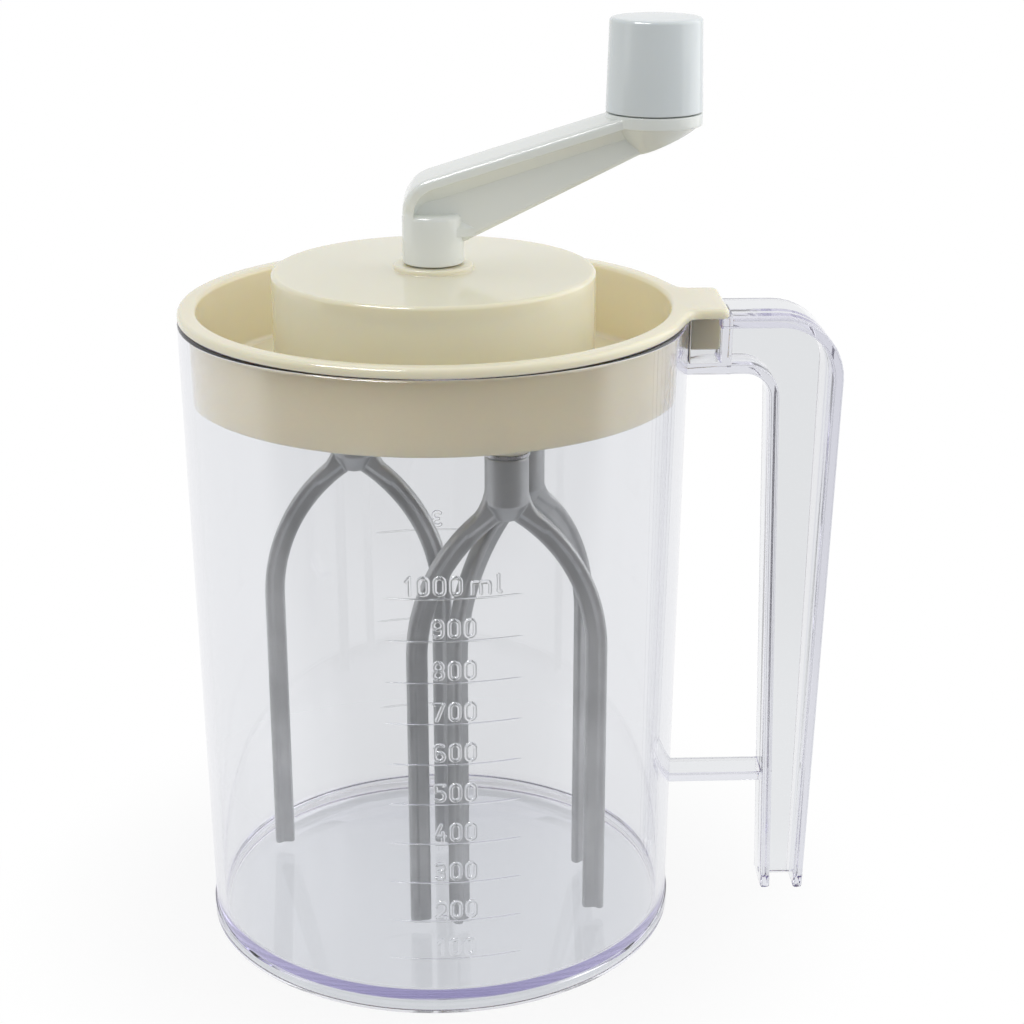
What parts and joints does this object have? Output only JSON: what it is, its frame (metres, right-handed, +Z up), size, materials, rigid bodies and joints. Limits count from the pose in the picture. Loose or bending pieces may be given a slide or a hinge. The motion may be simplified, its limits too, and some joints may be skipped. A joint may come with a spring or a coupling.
{
  "type": "crank mayonnaise mixer jar",
  "caption": "Clear measuring jar with a moulded handle and a lid whose top crank turns beater forks through gears.",
  "frame": {"origin": "on the jar's axis, in the plane of its foot", "axes": "+Z up along the jar's axis, +X towards the handle, with the crank arm over the handle at rest"},
  "size_m": [0.1566, 0.1202, 0.2221],
  "materials": {
    "jar": "clear gloss",
    "lid": "gloss",
    "crank": "gloss",
    "gear": "satin",
    "bearing": "satin",
    "beater": "satin",
    "steel": "satin"
  },
  "bodies": {
    "jar": {"jar": "jar"},
    "lid": {"lid": "lid", "gearbox_cover": "lid", "cover_screws": "steel", "shaft_bush": "bearing"},
    "crank": {"crank_arm": "crank", "drive_shaft": "steel", "drive_gear": "gear", "gear_washer": "bearing", "gear_clip": "steel", "knob_pin": "steel", "knob_clip": "steel"},
    "knob": {"knob": "crank", "knob_sleeve": "bearing"},
    "beater_left": {"beater_left": "beater", "pinion_left": "gear", "pinion_clip_left": "steel", "beater_washer_left": "bearing"},
    "beater_right": {"beater_right": "beater", "pinion_right": "gear", "pinion_clip_right": "steel", "beater_washer_right": "bearing"},
    "beater_front": {"beater_front": "beater", "pinion_front": "gear", "pinion_clip_front": "steel", "beater_washer_front": "bearing"}
  },
  "joints": [
    {"name": "lid_lift", "type": "slide", "parent": "jar", "child": "lid", "axis": [0, 0, 1], "range_m": [0, 0.16]},
    {"name": "crank_spin", "type": "hinge", "parent": "lid", "child": "crank", "pos_m": [0, 0, 0.1663], "axis": [0, 0, 1], "continuous": true},
    {"name": "knob_spin", "type": "hinge", "parent": "crank", "child": "knob", "pos_m": [0.051, 0, 0.20108], "axis": [0, 0, 1], "continuous": true},
    {"name": "left_beater_spin", "type": "hinge", "parent": "lid", "child": "beater_left", "pos_m": [-0.02035, 0.01342, 0.1368], "axis": [0, 0, 1], "continuous": true},
    {"name": "right_beater_spin", "type": "hinge", "parent": "lid", "child": "beater_right", "pos_m": [0.02035, -0.01342, 0.1368], "axis": [0, 0, 1], "continuous": true},
    {"name": "front_beater_spin", "type": "hinge", "parent": "lid", "child": "beater_front", "pos_m": [0.01609, -0.02464, 0.1368], "axis": [0, 0, 1], "continuous": true}
  ],
  "couplings": [
    {"joint": "left_beater_spin", "follows": "crank_spin", "ratio": -3.0625},
    {"joint": "right_beater_spin", "follows": "crank_spin", "ratio": -3.0625},
    {"joint": "front_beater_spin", "follows": "crank_spin", "ratio": 3.0625}
  ]
}
